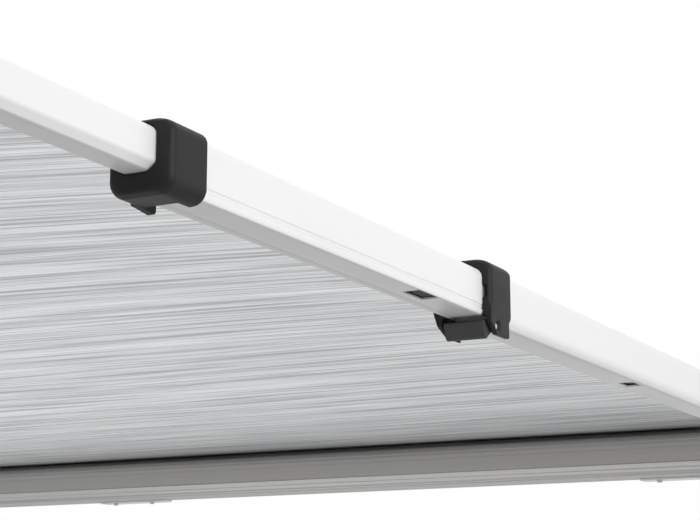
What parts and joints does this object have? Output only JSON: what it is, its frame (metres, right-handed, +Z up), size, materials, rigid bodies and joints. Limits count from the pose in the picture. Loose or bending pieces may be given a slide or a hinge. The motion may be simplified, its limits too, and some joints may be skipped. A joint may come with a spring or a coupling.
{
  "type": "roll out awning",
  "caption": "Wall case awning: sprung roller, stretched fabric, lead rail, telescopic rafters with lock levers, and folding legs with feet.",
  "frame": {"origin": "middle of the wall plane, on the back of the middle wall bracket, level with the middle of the case", "axes": "+X along the case towards the end that is left when facing the wall, +Y out from the wall, +Z up"},
  "size_m": [3.005, 2.514, 2.2543],
  "materials": {
    "white_profile": "white powder coat, satin",
    "black_moulding": "black moulded plastic, fine texture",
    "anodised_grey": "grey anodised extrusion with drawn lines",
    "bare_aluminium": "mill finish aluminium",
    "zinc_steel": "zinc plated steel",
    "awning_cloth": "coated fabric, light grey with fine darker streaks"
  },
  "bodies": {
    "case": {"case_shell": "anodised_grey", "case_strip": "bare_aluminium", "case_end_right": "black_moulding", "case_end_left": "black_moulding", "wall_bracket_right": "bare_aluminium", "wall_bracket_middle": "bare_aluminium", "wall_bracket_left": "bare_aluminium", "clamp_screws": "zinc_steel", "end_screws": "zinc_steel", "spring_shaft": "zinc_steel", "bearing_left": "bare_aluminium", "rafter_bracket_right": "black_moulding", "rafter_bracket_left": "black_moulding", "rafter_pins": "zinc_steel"},
    "roller": {"roller_tube": "bare_aluminium", "roller_plug_right": "black_moulding", "roller_plug_left": "black_moulding", "roller_spring": "zinc_steel", "rolled_fabric": "awning_cloth"},
    "lead": {"lead_rail": "anodised_grey", "lead_end_right": "black_moulding", "lead_end_left": "black_moulding", "leg_pins": "zinc_steel", "fabric": "awning_cloth"},
    "right_rafter": {"right_outer_profile": "white_profile", "right_swivel": "black_moulding", "right_mouth_collar": "black_moulding", "right_lever_pin": "zinc_steel"},
    "right_rafter_mid": {"right_mid_profile": "white_profile", "right_step_collar": "black_moulding", "right_mid_glide": "black_moulding"},
    "right_rafter_inner": {"right_inner_profile": "white_profile", "right_inner_glide": "black_moulding", "right_hook": "black_moulding"},
    "right_lever": {"right_lock_lever": "black_moulding"},
    "right_catch": {"right_slide_catch": "black_moulding"},
    "right_leg": {"right_leg_knuckle": "black_moulding", "right_leg_outer": "white_profile", "right_leg_clamp": "black_moulding"},
    "right_leg_low": {"right_leg_inner": "bare_aluminium"},
    "right_leg_cam": {"right_leg_lever": "black_moulding"},
    "right_sole": {"right_foot": "black_moulding"},
    "left_rafter": {"left_outer_profile": "white_profile", "left_swivel": "black_moulding", "left_mouth_collar": "black_moulding", "left_lever_pin": "zinc_steel"},
    "left_rafter_mid": {"left_mid_profile": "white_profile", "left_step_collar": "black_moulding", "left_mid_glide": "black_moulding"},
    "left_rafter_inner": {"left_inner_profile": "white_profile", "left_inner_glide": "black_moulding", "left_hook": "black_moulding"},
    "left_lever": {"left_lock_lever": "black_moulding"},
    "left_catch": {"left_slide_catch": "black_moulding"},
    "left_leg": {"left_leg_knuckle": "black_moulding", "left_leg_outer": "white_profile", "left_leg_clamp": "black_moulding"},
    "left_leg_low": {"left_leg_inner": "bare_aluminium"},
    "left_leg_cam": {"left_leg_lever": "black_moulding"},
    "left_sole": {"left_foot": "black_moulding"}
  },
  "joints": [
    {"name": "roll_out", "type": "slide", "parent": "case", "child": "lead", "axis": [0, 1, 0], "range_m": [-0.8, 0], "deforming": ["fabric"]},
    {"name": "roller_spin", "type": "hinge", "parent": "case", "child": "roller", "pos_m": [0, 0.056, -0.02], "axis": [-1, 0, 0], "range_deg": [-1400, 0]},
    {"name": "right_rafter_swing", "type": "hinge", "parent": "case", "child": "right_rafter", "pos_m": [-1.44, 0.13, -0.01705], "axis": [-1, 0, 0], "range_deg": [0, 45]},
    {"name": "right_mid_slide", "type": "slide", "parent": "right_rafter", "child": "right_rafter_mid", "axis": [0, 1, 0], "range_m": [-0.501, 0]},
    {"name": "right_inner_slide", "type": "slide", "parent": "right_rafter_mid", "child": "right_rafter_inner", "axis": [0, 1, 0], "range_m": [-0.301, 0]},
    {"name": "right_lock_turn", "type": "hinge", "parent": "right_rafter", "child": "right_lever", "pos_m": [-1.44, 1.519, -0.05], "axis": [-1, 0, 0], "range_deg": [0, 75]},
    {"name": "right_catch_press", "type": "slide", "parent": "right_rafter_mid", "child": "right_catch", "axis": [0, 0, 1], "range_m": [0, 0.003], "stiffness_N_per_m": 400, "springref_m": -0.001},
    {"name": "right_leg_swing", "type": "hinge", "parent": "lead", "child": "right_leg", "pos_m": [-1.485, 2.476, -0.052], "axis": [0, -1, 0], "range_deg": [0, 90]},
    {"name": "right_leg_slide", "type": "slide", "parent": "right_leg", "child": "right_leg_low", "axis": [0, 0, 1], "range_m": [0, 0.88]},
    {"name": "right_clamp_turn", "type": "hinge", "parent": "right_leg", "child": "right_leg_cam", "pos_m": [-1.485, 2.496, -1.216], "axis": [-1, 0, 0], "range_deg": [0, 110]},
    {"name": "right_foot_tilt", "type": "hinge", "parent": "right_leg_low", "child": "right_sole", "pos_m": [-1.485, 2.476, -2.164], "axis": [1, 0, 0], "range_deg": [-25, 25]},
    {"name": "left_rafter_swing", "type": "hinge", "parent": "case", "child": "left_rafter", "pos_m": [1.44, 0.13, -0.01705], "axis": [-1, 0, 0], "range_deg": [0, 45]},
    {"name": "left_mid_slide", "type": "slide", "parent": "left_rafter", "child": "left_rafter_mid", "axis": [0, 1, 0], "range_m": [-0.501, 0]},
    {"name": "left_inner_slide", "type": "slide", "parent": "left_rafter_mid", "child": "left_rafter_inner", "axis": [0, 1, 0], "range_m": [-0.301, 0]},
    {"name": "left_lock_turn", "type": "hinge", "parent": "left_rafter", "child": "left_lever", "pos_m": [1.44, 1.519, -0.05], "axis": [-1, 0, 0], "range_deg": [0, 75]},
    {"name": "left_catch_press", "type": "slide", "parent": "left_rafter_mid", "child": "left_catch", "axis": [0, 0, 1], "range_m": [0, 0.003], "stiffness_N_per_m": 400, "springref_m": -0.001},
    {"name": "left_leg_swing", "type": "hinge", "parent": "lead", "child": "left_leg", "pos_m": [1.485, 2.476, -0.052], "axis": [0, 1, 0], "range_deg": [0, 90]},
    {"name": "left_leg_slide", "type": "slide", "parent": "left_leg", "child": "left_leg_low", "axis": [0, 0, 1], "range_m": [0, 0.88]},
    {"name": "left_clamp_turn", "type": "hinge", "parent": "left_leg", "child": "left_leg_cam", "pos_m": [1.485, 2.496, -1.216], "axis": [-1, 0, 0], "range_deg": [0, 110]},
    {"name": "left_foot_tilt", "type": "hinge", "parent": "left_leg_low", "child": "left_sole", "pos_m": [1.485, 2.476, -2.164], "axis": [1, 0, 0], "range_deg": [-25, 25]}
  ],
  "couplings": [
    {"joint": "roller_spin", "follows": "roll_out", "rad_per_m": 28.09},
    {"joint": "right_mid_slide", "follows": "roll_out", "ratio": 0.625},
    {"joint": "right_inner_slide", "follows": "roll_out", "ratio": 0.375},
    {"joint": "left_mid_slide", "follows": "roll_out", "ratio": 0.625},
    {"joint": "left_inner_slide", "follows": "roll_out", "ratio": 0.375}
  ]
}
